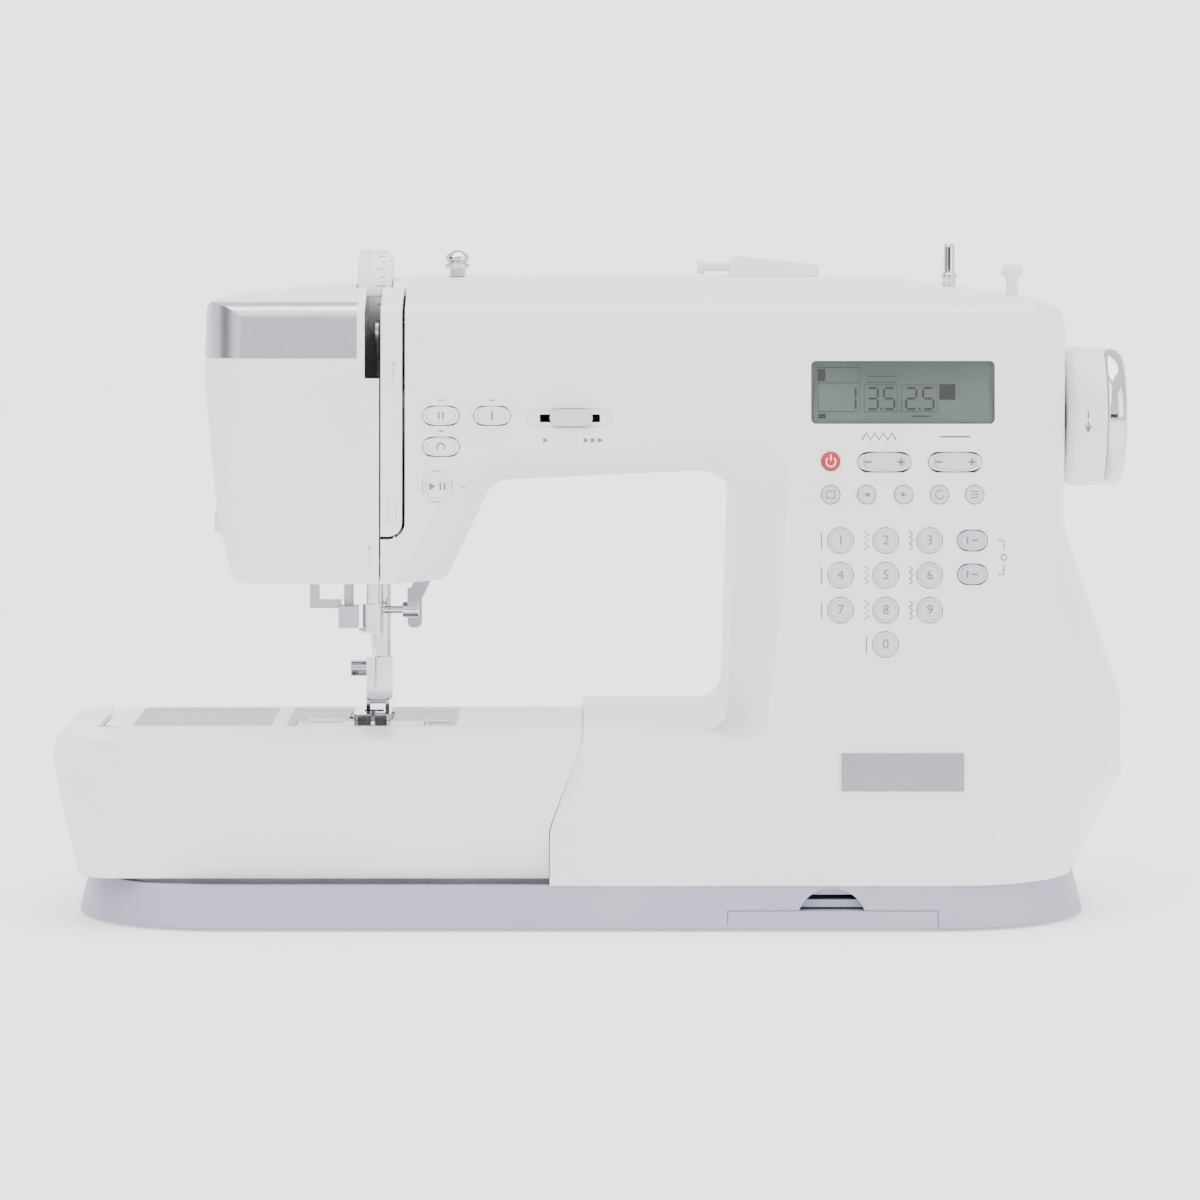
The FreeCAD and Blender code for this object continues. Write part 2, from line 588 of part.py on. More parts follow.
# ---------------------------------------------------------------- drive train
CRANK_R = STROKE / 2
upper = rod("x", (0, SHAFT_Z), SHAFT_R, -78, 209)
disc = rod("x", (0, SHAFT_Z), 19.0, -78, -71)
crank_pin = rod("x", (0, SHAFT_Z + CRANK_R), 2.5, -79.2, -78)
timing_wheel = rod("x", (0, SHAFT_Z), 12.0, 110, 122)
belt_wheel = rod("x", (0, SHAFT_Z), 24.0, 154, 164)
save("upper_shaft", union([upper, disc, crank_pin, timing_wheel, belt_wheel]))

wheel = revolve_x([(193.5, SHAFT_R), (193.5, 27), (195.5, 29), (209.6, 28.2), (209.6, 12), (202, 12), (202, 9),
                   (209, 9), (209, SHAFT_R)], 0, SHAFT_Z)
save("handwheel", wheel)
ring = revolve_x([(209.6, 11), (209.6, 28.2), (213, 28.4), (216.5, 27.2), (218.3, 24), (217.4, 11)], 0, SHAFT_Z)
save("handwheel_ring", ring)

HOOK_GEAR_R, LOWER_GEAR_R = 6.8, 11.2
lower = rod("x", (LOWER_Y, LOWER_Z), LOWER_R, -112, 140)
lower_gear = rod("x", (LOWER_Y, LOWER_Z), LOWER_GEAR_R, GEAR_X1, GEAR_X2)
lower_wheel = rod("x", (LOWER_Y, LOWER_Z), 12.0, 110, 122)
save("lower_shaft", union([lower, lower_gear, lower_wheel]))

cup = rod("z", (HOOK_X, HOOK_Y), HOOK_R, 57.5, 69.5).cut(rod("z", (HOOK_X, HOOK_Y), 16.9, 59.2, 70))
spindle = rod("z", (HOOK_X, HOOK_Y), 3.0, 39, 58)
pinion = rod("z", (HOOK_X, HOOK_Y), HOOK_GEAR_R, LOWER_Z - 4, LOWER_Z + 4)
save("rotary_hook", union([cup, spindle, pinion]))
case = rod("z", (HOOK_X, HOOK_Y), 16.5, 59.5, 70.0).cut(rod("z", (HOOK_X, HOOK_Y), 14.6, 60.7, 71))
post = rod("z", (HOOK_X, HOOK_Y), 2.6, 60.7, 66)
stop = box(HOOK_X - 18, HOOK_X - 13, HOOK_Y - 2, HOOK_Y + 2, 69.8, PLATE_Z - 1.2)
brace = box(-124, HOOK_X - 16, HOOK_Y - 2, HOOK_Y + 2, 71.5, PLATE_Z - 1.2)
save("bobbin_case", union([case, post, stop, brace]))
flanges = [rod("z", (HOOK_X, HOOK_Y), 10.2, z, z + 0.9) for z in (61.0, 71.4)]
core = rod("z", (HOOK_X, HOOK_Y), 4.0, 61.0, 72.3)
bobbin = union(flanges + [core]).cut(rod("z", (HOOK_X, HOOK_Y), 2.9, 60, 74))
save("bobbin", bobbin)

MOTOR_Y, MOTOR_Z, MOTOR_R = 50.0, 66.0, 22.0
can = rod("x", (MOTOR_Y, MOTOR_Z), MOTOR_R, 104, 150).cut(rod("x", (MOTOR_Y, MOTOR_Z), 3.1, 140, 151))
saddle = box(108, 146, 34, 60, 16, 50)
saddle = saddle.cut(rod("x", (MOTOR_Y, MOTOR_Z), MOTOR_R, 100, 151))
save("motor", union([can, saddle]))
rotor = rod("x", (MOTOR_Y, MOTOR_Z), 3.0, 140.3, 166).fuse(rod("x", (MOTOR_Y, MOTOR_Z), 8.0, 154, 164))
save("motor_pulley", rotor.removeSplitter())


def belt(x1, x2, a, ra, b, rb, thick):
    """Open belt round two pulleys given by (y, z) centres."""
    ya, za = a
    yb, zb = b
    length = math.hypot(yb - ya, zb - za)
    base_angle = math.atan2(zb - za, yb - ya)
    skins = []
    for extra in (thick + 0.3, 0.3):
        r1, r2 = ra + extra, rb + extra
        lean = math.acos((r1 - r2) / length)
        shape = rod("x", a, r1, x1, x2).fuse(rod("x", b, r2, x1, x2))
        pts = []
        for sign in (1, -1):
            t = base_angle + sign * lean
            pts.append((ya + r1 * math.cos(t), za + r1 * math.sin(t)))
            pts.append((yb + r2 * math.cos(t), zb + r2 * math.sin(t)))
        ring_pts = [pts[0], pts[1], pts[3], pts[2], pts[0]]
        wire = Part.makePolygon([Vector(x1, y, z) for y, z in ring_pts])
        skins.append(shape.fuse(Part.Face(wire).extrude(Vector(x2 - x1, 0, 0))))
    return skins[0].cut(skins[1]).removeSplitter()


timing = belt(111, 121, (0, SHAFT_Z), 12, (LOWER_Y, LOWER_Z), 12, 1.6)
drive = belt(155, 163, (0, SHAFT_Z), 24, (MOTOR_Y, MOTOR_Z), 8, 1.8)
save("drive_belts", Part.makeCompound([timing, drive]))

# ---------------------------------------------------------------- stitch head
stud_z = SHAFT_Z + CRANK_R - 35
bar = rod("z", (BAR_X, 0), BAR_R, 118, 212)
bar_block = box(BAR_X - 4.5, BAR_X + 4.5, -4.5, 4.5, stud_z - 5, stud_z + 5)
stud = rod("x", (0, stud_z), 2.5, BAR_X, -79.4)
save("needle_bar", union([bar, bar_block, stud]))
link = side_slab([(-4.6, stud_z - 4.6, 4.5), (4.6, stud_z - 4.6, 4.5), (4.6, stud_z + 39.6, 4.5),
                  (-4.6, stud_z + 39.6, 4.5)], -82.0, -79.4)
link = link.cut(rod("x", (0, stud_z), 2.55, -90, -70)).cut(rod("x", (0, stud_z + 35), 2.55, -90, -70))
save("drive_link", link)
clamp = rod("z", (BAR_X, 0), 4.6, 111, 123).cut(rod("z", (BAR_X, 0), BAR_R, 118, 124))
clamp = clamp.cut(rod("z", (BAR_X, 0), 1.1, 108, 119))
screw = rod("x", (0, 120.5), 1.5, -86.5, -78).fuse(rod("x", (0, 120.5), 3.2, -78.5, -72))
thread_hook = rod("x", (-3, 112.5), 0.6, -96.5, -90.5)
save("needle_clamp", union([clamp, screw, thread_hook]))
needle = rod("z", (BAR_X, 0), 1.1, 104, 118).fuse(Part.makeCone(0.25, 0.5, 17, Vector(BAR_X, 0, 87)))
save("needle", needle.removeSplitter())

threader = union([
    rod("z", (THREADER_X, THREADER_Y), 2.0, 116, 158),
    box(-105, -96.9, -3, 6.2, 113, 122),
    box(-117, -104, 1, 4, 121, 124.5),
    box(-117, -113, 1, 4, 121, 133),
])
save("needle_threader", threader)

rest = 76.15
presser = rod("z", (PRESSER_X, PRESSER_Y), PRESSER_R, 88, 214)
collar = rod("z", (PRESSER_X, PRESSER_Y), 5.4, 150, 158)
holder = box(-94, -83.2, 7.8, 16.5, 82.4, 100).cut(rod("z", (PRESSER_X, PRESSER_Y), PRESSER_R, 88, 101))
holder_screw = rod("x", (PRESSER_Y, 95), 3.3, -100.5, -94)
lift_tab = box(-84, -73, 16.6, 19.0, 150, 153).fuse(box(-86.5, -82, 13.5, 19.0, 150, 153))
save("presser_bar", union([presser, collar, holder, holder_screw, lift_tab]))
sole = plan_slab(-98.5, -83.2, -14.4, 13, rest, rest + 2.4, 2)
sole = sole.cut(box(-94.5, -86.5, -4, 4, 70, 90)).cut(box(-91.3, -89.7, -30, -3, 70, 90))
ears = [box(x, x + 1.6, 5.4, 12.5, rest + 2, 82.4) for x in (-94.0, -86.1)]
ankle_pin = rod("x", (9.2, 81.3), 0.9, -94.0, -84.5)
save("presser_foot", union([sole, ankle_pin] + ears))

lifter = slab([(-69.5, 139.5, 3.2), (-62.5, 139.5, 3.2), (-62.5, 146.5, 3.2), (-69.5, 146.5, 3.2)], 26.4, 29.4)
arm_a = slab([(-69.3, 142, 0), (-62.8, 142, 0), (-71.6, 122, 3), (-77.6, 124, 3)], 26.4, 29.4)
arm_b = slab([(-77.6, 127, 0), (-71.6, 127, 0), (-71.6, 110.5, 2.5), (-77.6, 110.5, 2.5)], 26.4, 29.4)
lifter = union([lifter, arm_a, arm_b]).cut(rod("y", (-66, 143), 2.1, 20, 35))
save("foot_lifter", lifter)


def capsule(y1, z1, y2, z2, width, x1, x2):
    """Round-ended bar in a YZ plane between two points."""
    length = math.hypot(y2 - y1, z2 - z1)
    piece = side_slab([(-width / 2, -width / 2, width / 2 - 0.01), (length + width / 2, -width / 2, width / 2 - 0.01),
                       (length + width / 2, width / 2, width / 2 - 0.01), (-width / 2, width / 2, width / 2 - 0.01)],
                      x1, x2)
    piece.rotate(Vector(0, 0, 0), X_AXIS, math.degrees(math.atan2(z2 - z1, y2 - y1)))
    piece.translate(Vector(0, y1, z1))
    return piece


lever = union([
    capsule(10, 232, -42, 220, 7.4, -86.9, -85.7),
    capsule(-42, 220, -54, 238, 6.0, -86.9, -85.7),
    tube("x", (10, 232), 6.0, 3.05, -86.9, -85.7),
]).cut(rod("x", (10, 232), 3.05, -90, -80)).cut(rod("x", (-54, 238), 1.1, -90, -80))
save("take_up_lever", lever)

feed_bar = box(-100, -81, 7, 17.5, 61.5, 68)
for x, z in GUIDES:
    feed_bar = feed_bar.cut(rod("y", (x, z), 1.55, 0, 30))
feed_bar = feed_bar.cut(box(-93.3, -87.7, 8.7, 16.3, 60, 70))
save("feed_bar", feed_bar)
feed = [box(-93, -88, 9, 16, 59, 72.5)]
feed.append(box(FEED_ROWS[0] - 1.6, FEED_ROWS[1] + 1.6, 9, 15, 72.0, 73.8))
for x, row_start in zip(FEED_ROWS, (-2.0, -5.5)):
    feed.append(box(x - 1.6, x + 1.6, row_start, 15, 72.0, BED_TOP - 0.7))
    for i in range(7):
        y = row_start + i * 2.4
        feed.append(box(x - 1.6, x + 1.6, y, y + 1.2, BED_TOP - 0.8, BED_TOP + 0.1))
save("feed_dogs", union(feed))

# ---------------------------------------------------------------- thread path and top fittings
dial = revolve_x([(DIAL_X1, 3.05), (DIAL_X1, DIAL_R - 1.5), (DIAL_X1 + 1.5, DIAL_R), (DIAL_X2 - 1.5, DIAL_R),
                  (DIAL_X2, DIAL_R - 1.5), (DIAL_X2, 3.05)], DIAL_Y, DIAL_Z)
save("tension_dial", dial)
pin = rod("x", (DIAL_Y, DIAL_Z), 3.0, DIAL_X1, -70)
discs = [rod("x", (DIAL_Y, DIAL_Z), 8.5, x, x + 0.8).common(box(-90, -60, -40, 0, 230, 254.6))
         for x in (-79.8, -78.6)]
collar = rod("x", (DIAL_Y, DIAL_Z), 3.2, -78.8, -70)
bracket = box(-74, -71, DIAL_Y - 4, FY1, 234, 250)
save("tension_discs", union([pin, collar, bracket] + discs))
stem = rod("z", (PIN_X, PIN_Y), 2.2, 248, 263)
washers = [Part.makeCone(5.2, 3.6, 2.2, Vector(PIN_X, PIN_Y, 262)), Part.makeCone(3.6, 5.2, 2.2, Vector(PIN_X, PIN_Y, 264.2)),
           Part.makeCone(5.2, 2.4, 2.6, Vector(PIN_X, PIN_Y, 266.4))]
save("pretension_guide", union([stem, rod("z", (PIN_X, PIN_Y), 3.6, 258.6, 262)] + washers))
winder = union([
    rod("z", (SPINDLE_X, SPINDLE_Y), 2.8, 222, 272),
    rod("z", (SPINDLE_X, SPINDLE_Y), 13.0, 233, 239),
])
save("winder_spindle", winder)
stopper = union([
    rod("z", (STOPPER_X, SPINDLE_Y), 2.5, 244, 258.5),
    Part.makeCone(4.6, 3.4, 5.2, Vector(STOPPER_X, SPINDLE_Y, 258.4)),
])
save("winder_stopper", stopper)
housing = slab([(56, 258.4, 0), (92.6, 258.4, 0), (92.6, 262.8, 1.5), (58, 266.6, 1.5), (56, 265, 1)], -9, 17)
housing = housing.cut(rod("x", (4, 262), 2.05, 40, 80))
save("spool_housing", housing)
save("spool_pin", rod("x", (4, 262), 2.0, 45, 79.9).fuse(rod("x", (4, 262), 3.0, 43, 46)).removeSplitter())

socket = box(152, 178, 62, back_y(41) + 0.2, 31, 51)
socket = socket.cut(box(156, 174, 72, 100, 35, 47))
pins = [rod("y", (x, 41), 1.2, 66, 73.2) for x in (161, 169)]
save("power_inlet", union([socket] + pins))
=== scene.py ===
import math

import bpy
import numpy as np
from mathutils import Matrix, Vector


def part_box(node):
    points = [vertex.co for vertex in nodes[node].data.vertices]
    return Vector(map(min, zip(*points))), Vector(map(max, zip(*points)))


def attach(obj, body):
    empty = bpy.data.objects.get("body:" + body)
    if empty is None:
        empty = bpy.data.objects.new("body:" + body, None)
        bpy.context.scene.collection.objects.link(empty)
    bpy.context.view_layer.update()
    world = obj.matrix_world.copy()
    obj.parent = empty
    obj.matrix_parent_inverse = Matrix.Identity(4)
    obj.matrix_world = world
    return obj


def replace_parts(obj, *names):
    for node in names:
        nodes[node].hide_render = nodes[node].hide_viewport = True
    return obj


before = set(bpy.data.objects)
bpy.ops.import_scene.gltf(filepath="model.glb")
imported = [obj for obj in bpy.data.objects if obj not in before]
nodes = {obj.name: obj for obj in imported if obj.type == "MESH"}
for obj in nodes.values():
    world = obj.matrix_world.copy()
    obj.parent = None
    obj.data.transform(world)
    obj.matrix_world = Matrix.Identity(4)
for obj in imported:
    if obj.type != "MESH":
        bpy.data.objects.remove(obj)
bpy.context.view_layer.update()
print("frame loaded:", len(nodes), "nodes")

mm = 0.001
frontLean = {"y0": -87.5, "z0": 18.0, "slope": 0.107}
leanAngle = math.atan(frontLean["slope"])


def hexToLinear(code):
    # sRGB hex text to linear red, green, blue
    parts = [int(code[i:i + 2], 16) / 255 for i in (0, 2, 4)]
    return tuple(p / 12.92 if p <= 0.04045 else ((p + 0.055) / 1.055) ** 2.4 for p in parts)


# materials

def addNode(tree, kind, **values):
    # one shader node with its inputs and properties filled in
    node = tree.nodes.new(kind)
    for key, value in values.items():
        if key in node.inputs:
            node.inputs[key].default_value = value
        else:
            setattr(node, key, value)
    return node


def startMaterial(name, colour, roughness, metallic=0.0, ior=1.5, coat=0.0, transmission=0.0):
    mat = bpy.data.materials.new(name)
    mat.use_nodes = True
    tree = mat.node_tree
    shader = tree.nodes["Principled BSDF"]
    shader.inputs["Base Color"].default_value = (*hexToLinear(colour), 1)
    shader.inputs["Roughness"].default_value = roughness
    shader.inputs["Metallic"].default_value = metallic
    shader.inputs["IOR"].default_value = ior
    shader.inputs["Coat Weight"].default_value = coat
    shader.inputs["Transmission Weight"].default_value = transmission
    place = addNode(tree, "ShaderNodeTexCoord")
    return mat, tree, shader, place


def mottle(tree, shader, place, dark, light, sizeMm, detail=4.0):
    # slow colour drift between two close shades
    noise = addNode(tree, "ShaderNodeTexNoise", Scale=1 / (sizeMm * mm), Detail=detail)
    ramp = addNode(tree, "ShaderNodeValToRGB")
    ramp.color_ramp.elements[0].color = (*hexToLinear(dark), 1)
    ramp.color_ramp.elements[1].color = (*hexToLinear(light), 1)
    ramp.color_ramp.elements[0].position = 0.3
    ramp.color_ramp.elements[1].position = 0.7
    tree.links.new(place.outputs["Object"], noise.inputs["Vector"])
    tree.links.new(noise.outputs["Fac"], ramp.inputs["Fac"])
    tree.links.new(ramp.outputs["Color"], shader.inputs["Base Color"])


def grainBump(tree, shader, place, sizeMm, depthMm, stretch=(1, 1, 1)):
    # fine surface relief; stretch draws it out into brush lines
    mapping = addNode(tree, "ShaderNodeMapping", Scale=stretch)
    grain = addNode(tree, "ShaderNodeTexNoise", Scale=1 / (sizeMm * mm))
    bump = addNode(tree, "ShaderNodeBump", Strength=1.0, Distance=depthMm * mm)
    tree.links.new(place.outputs["Object"], mapping.inputs["Vector"])
    tree.links.new(mapping.outputs["Vector"], grain.inputs["Vector"])
    tree.links.new(grain.outputs[0], bump.inputs["Height"])
    tree.links.new(bump.outputs["Normal"], shader.inputs["Normal"])
    return mapping


def roughDrift(tree, shader, place, low, high, sizeMm, mapping=None):
    # roughness that wanders, as handled plastic and rolled metal do
    noise = addNode(tree, "ShaderNodeTexNoise", Scale=1 / (sizeMm * mm), Detail=5.0)
    span = addNode(tree, "ShaderNodeMapRange")
    span.inputs["To Min"].default_value = low
    span.inputs["To Max"].default_value = high
    source = mapping.outputs["Vector"] if mapping else place.outputs["Object"]
    tree.links.new(source, noise.inputs["Vector"])
    tree.links.new(noise.outputs["Fac"], span.inputs["Value"])
    tree.links.new(span.outputs["Result"], shader.inputs["Roughness"])


def mouldedPlastic(name, dark, light, low, high, grainMm=0.35, depthMm=0.006, coat=0.0):
    # injection-moulded ABS: spark-eroded grain, faint sink and shade drift
    mat, tree, shader, place = startMaterial(name, light, low, ior=1.54, coat=coat)
    mottle(tree, shader, place, dark, light, 45)
    grainBump(tree, shader, place, grainMm, depthMm)
    roughDrift(tree, shader, place, low, high, 18)
    return mat


def workedMetal(name, dark, light, low, high, stretch=(1, 1, 1), grainMm=0.4, depthMm=0.003):
    # machined or rolled metal: brush lines along one way and uneven polish
    mat, tree, shader, place = startMaterial(name, light, low, metallic=1.0)
    mottle(tree, shader, place, dark, light, 12)
    mapping = grainBump(tree, shader, place, grainMm, depthMm, stretch)
    roughDrift(tree, shader, place, low, high, 3, mapping)
    return mat


# glossy white ABS casing
shellWhite = mouldedPlastic("shellWhiteAbs", "EDEDF2", "F2F2F6", 0.28, 0.36, depthMm=0.004)
pearlWhite = mouldedPlastic("pearlButtonPlastic", "E6E5EC", "ECEBF1", 0.3, 0.4)  # paler buttons on the head
# grained lavender-grey ABS
baseGrey = mouldedPlastic("baseGreyAbs", "9FA0B3", "A8A9BB", 0.42, 0.55, grainMm=0.6, depthMm=0.012)
keyGrey = mouldedPlastic("keyCapPlastic", "C9C8D2", "D2D1DA", 0.34, 0.44)  # satin key caps
keyOval = mouldedPlastic("ovalKeyPlastic", "B9B7C6", "C5C3D1", 0.36, 0.46)  # darker oval keys
redCap = mouldedPlastic("redPowerCap", "B01822", "C4222C", 0.32, 0.42)  # red power key
dialWhite = mouldedPlastic("dialWhitePom", "E4E4EA", "EEEEF3", 0.35, 0.45)  # white acetal dial and stopper
darkNylon = mouldedPlastic("darkNylon", "1E1E22", "2A2A2E", 0.45, 0.6)  # black nylon
feetRubber = mouldedPlastic("feetRubber", "161616", "222222", 0.75, 0.9, grainMm=0.8, depthMm=0.02)
boardGreen = mouldedPlastic("boardLaminate", "1C4A2C", "24603A", 0.4, 0.6)
# unlit liquid crystal panel
lcdGrey = mouldedPlastic("lcdPanel", "727C7B", "838F8D", 0.18, 0.24, depthMm=0.0005)
lcdInk = mouldedPlastic("lcdSegments", "20282A", "2A3234", 0.3, 0.4)
markInk = mouldedPlastic("printedMarks", "6A6A78", "76768A", 0.5, 0.6)  # pad-printed legends
smokedPane = mouldedPlastic("smokedAcrylic", "55565E", "63646C", 0.12, 0.2)  # dark window over the bobbin
signWhite = mouldedPlastic("whitePrint", "F0F0F2", "F6F6F8", 0.4, 0.5)
lightInk = mouldedPlastic("paleMarks", "A9A9B6", "B4B4C0", 0.5, 0.6)
# metallic paint on plastic
silverPaint = workedMetal("silverPaint", "C4C4CE", "CACAD4", 0.26, 0.32, grainMm=0.12, depthMm=0.002)
# brushed along X
plateSteel = workedMetal("plateSteel", "9C9CA6", "ACACB6", 0.36, 0.46, stretch=(0.06, 1, 1))
shaftSteel = workedMetal("shaftSteel", "8A8A90", "A8A8AE", 0.2, 0.3, stretch=(1, 1, 0.08))  # ground bars
castMetal = workedMetal("castAluminium", "8C8E92", "A4A6AA", 0.45, 0.65, grainMm=1.2, depthMm=0.05)
bushBronze = workedMetal("sinteredBronze", "9A6F38", "B88A4A", 0.4, 0.55)
brightChrome = workedMetal("brightChrome", "C6C6CC", "DADAE0", 0.05, 0.11, depthMm=0.0004)  # plated parts

# clear acrylic
paneFinish = startMaterial("clearPane", "EEF2F2", 0.06, ior=1.49, transmission=1.0)
clearPane, paneTree, paneShader, panePlace = paneFinish
grainBump(paneTree, paneShader, panePlace, 30, 0.01)
print("materials ready:", len(bpy.data.materials))


# mesh helpers

def makePiece(name, points, faces, material, body, smooth=True):
    mesh = bpy.data.meshes.new(name)
    mesh.from_pydata(np.asarray(points, float).reshape(-1, 3).tolist(), [], faces)
    mesh.update()
    if smooth:
        mesh.polygons.foreach_set("use_smooth", np.ones(len(mesh.polygons), bool))
    piece = bpy.data.objects.new(name, mesh)
    bpy.context.collection.objects.link(piece)
    mesh.materials.append(material)
    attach(piece, body)
    return piece


def ringFaces(rows, columns):
    # quads between neighbouring rings, and a flat polygon on each end
    i, j = np.meshgrid(np.arange(rows - 1), np.arange(columns), indexing="ij")
    k = (j + 1) % columns
    here, above = i * columns, (i + 1) * columns
    quads = np.stack([here + j, here + k, above + k, above + j], -1)
    faces = quads.reshape(-1, 4).tolist()
    faces.append(np.arange(columns)[::-1].tolist())
    faces.append(((rows - 1) * columns + np.arange(columns)).tolist())
    return faces


def toFront(x, s, out):
    # a point x across, s up the leaning front and out from it, in metres
    y = frontLean["y0"] + s * math.sin(leanAngle) - out * math.cos(leanAngle)
    z = frontLean["z0"] + s * math.cos(leanAngle) + out * math.sin(leanAngle)
    return np.stack(np.broadcast_arrays(x, y, z), -1) * mm


def upSlope(z):
    return (z - frontLean["z0"]) / math.cos(leanAngle)


def lathe(name, axis, centre, profile, material, body, segments=96, ribs=0, ribDepth=0.0, ribRange=(0, 0)):
    # profile points (along, radius) swept round an axis; ribs are cosine flutes over part of the length
    profile = np.asarray(profile, float)
    turn = np.linspace(0, 2 * np.pi, segments, endpoint=False)
    radius = profile[:, 1:2] * np.ones((1, segments))
    if ribs:
        inBand = (profile[:, :1] >= ribRange[0]) & (profile[:, :1] <= ribRange[1])
        radius = radius - inBand * ribDepth * (0.5 - 0.5 * np.cos(ribs * turn))[None, :]
    along = profile[:, :1] * np.ones((1, segments))
    a, b = radius * np.cos(turn), radius * np.sin(turn)
    if axis == "x":
        grid = np.stack([along, centre[0] + a, centre[1] + b], -1)
    elif axis == "y":
        grid = np.stack([centre[0] + b, along, centre[1] + a], -1)
    else:
        grid = np.stack([centre[0] + a, centre[1] + b, along], -1)
    return makePiece(name, grid * mm, ringFaces(len(profile), segments), material, body)


def softProfile(points, radius, steps=5):
    # rounds every inner corner of an open profile with a short arc
    points = [np.asarray(p, float) for p in points]
    out = [points[0]]
    for before, here, after in zip(points, points[1:], points[2:]):
        u, v = before - here, after - here
        reach = min(radius, 0.45 * np.linalg.norm(u), 0.45 * np.linalg.norm(v))
        start, end = here + u / np.linalg.norm(u) * reach, here + v / np.linalg.norm(v) * reach
        for t in np.linspace(0, 1, steps):
            out.append((1 - t) ** 2 * start + 2 * t * (1 - t) * here + t * t * end)
    out.append(points[-1])
    return np.array(out)


def keyCap(name, x, z, width, height, proud, crown, power, material, body, depth=3.4, segments=56):
    # superellipse outline carried in rings from under the casing, over a rounded rim, to a crowned top
    turn = np.linspace(0, 2 * np.pi, segments, endpoint=False)
    c, s = np.cos(turn), np.sin(turn)
    across = np.sign(c) * np.abs(c) ** (2 / power) * width / 2
    upward = np.sign(s) * np.abs(s) ** (2 / power) * height / 2
    short = min(width, height)
    rim = 0.16 * short  # width of the rounded rim
    steps = np.linspace(0, np.pi / 2, 7)
    inward = np.linspace(0.8, 0.04, 9)  # rings over the crowned top
    scales = np.concatenate([[1.0], 1 - (1 - np.cos(steps)) * rim / (short / 2), inward])
    rimHeights = proud - rim * 0.55 * (1 - np.sin(steps))
    heights = np.concatenate([[-depth], rimHeights, proud + crown * (1 - inward ** 2)])
    heights[8:] = np.maximum(heights[8:], proud)
    rings = scales[:, None]
    grid = toFront(x + across[None, :] * rings, upSlope(z) + upward[None, :] * rings, heights[:, None])
    return makePiece(name, grid, ringFaces(len(scales), segments), material, body)


def joinPieces(name, pieces):
    # several meshes as one piece
    bpy.ops.object.select_all(action="DESELECT")
    for piece in pieces:
        piece.select_set(True)
    bpy.context.view_layer.objects.active = pieces[0]
    bpy.ops.object.join()
    pieces[0].name = name
    return pieces[0]


def stroke(points, width, out=0.06, closed=False):
    # flat ribbon of a given width along points on the front; returns points and faces
    line = np.asarray(points, float)
    if closed:
        line = np.vstack([line, line[:1]])
    along = np.gradient(line, axis=0)
    along /= np.linalg.norm(along, axis=1, keepdims=True) + 1e-9
    side = np.stack([-along[:, 1], along[:, 0]], -1) * width / 2
    left, right = line + side, line - side
    grid = np.concatenate([left, right])
    n = len(line)
    faces = [(i, i + 1, n + i + 1, n + i) for i in range(n - 1)]
    return toFront(grid[:, 0], upSlope(grid[:, 1]), out), faces


def marks(name, strokes, material, body, out=0.06):
    # many ribbons in one mesh, facing out of the front
    points, faces, base = [], [], 0
    for line, width, closed in strokes:
        p, f = stroke(line, width, out, closed)
        points.append(p)
        faces += [tuple(base + k for k in reversed(q)) for q in f]
        base += len(p)
    piece = makePiece(name, np.concatenate(points), faces, material, body, smooth=False)
    fixNormals(piece)
    return piece


def fixNormals(piece):
    # turns any ribbon face that looks into the casing
    mesh = piece.data
    flip = [p.index for p in mesh.polygons if p.normal.y > 0]
    for index in flip:
        mesh.polygons[index].flip()
    mesh.update()


def arc(x, z, radius, start, end, steps=14):
    t = np.radians(np.linspace(start, end, steps))
    return np.stack([x + radius * np.cos(t), z + radius * np.sin(t)], -1)


def legend(name, words, x, z, size, material, body, out):
    # plain figures made a flat mesh and laid on the front
    curve = bpy.data.curves.new(name, "FONT")
    curve.body, curve.size, curve.align_x, curve.align_y = words, size, "CENTER", "CENTER"
    curve.resolution_u = 4
    holder = bpy.data.objects.new(name + "Curve", curve)
    bpy.context.collection.objects.link(holder)
    bpy.context.view_layer.update()
    mesh = bpy.data.meshes.new_from_object(holder.evaluated_get(bpy.context.evaluated_depsgraph_get()))
    bpy.data.objects.remove(holder)
    flat = np.empty(len(mesh.vertices) * 3)
    mesh.vertices.foreach_get("co", flat)
    flat = flat.reshape(-1, 3)
    flat = toFront(x + flat[:, 0], upSlope(z) + flat[:, 1], out)
    mesh.vertices.foreach_set("co", flat.ravel())
    mesh.update()
    mesh.name = name
    mesh.materials.clear()
    mesh.materials.append(material)
    piece = bpy.data.objects.new(name, mesh)
    bpy.context.collection.objects.link(piece)
    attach(piece, body)
    return piece


print("helpers ready")


# finishes for the CAD nodes that stay

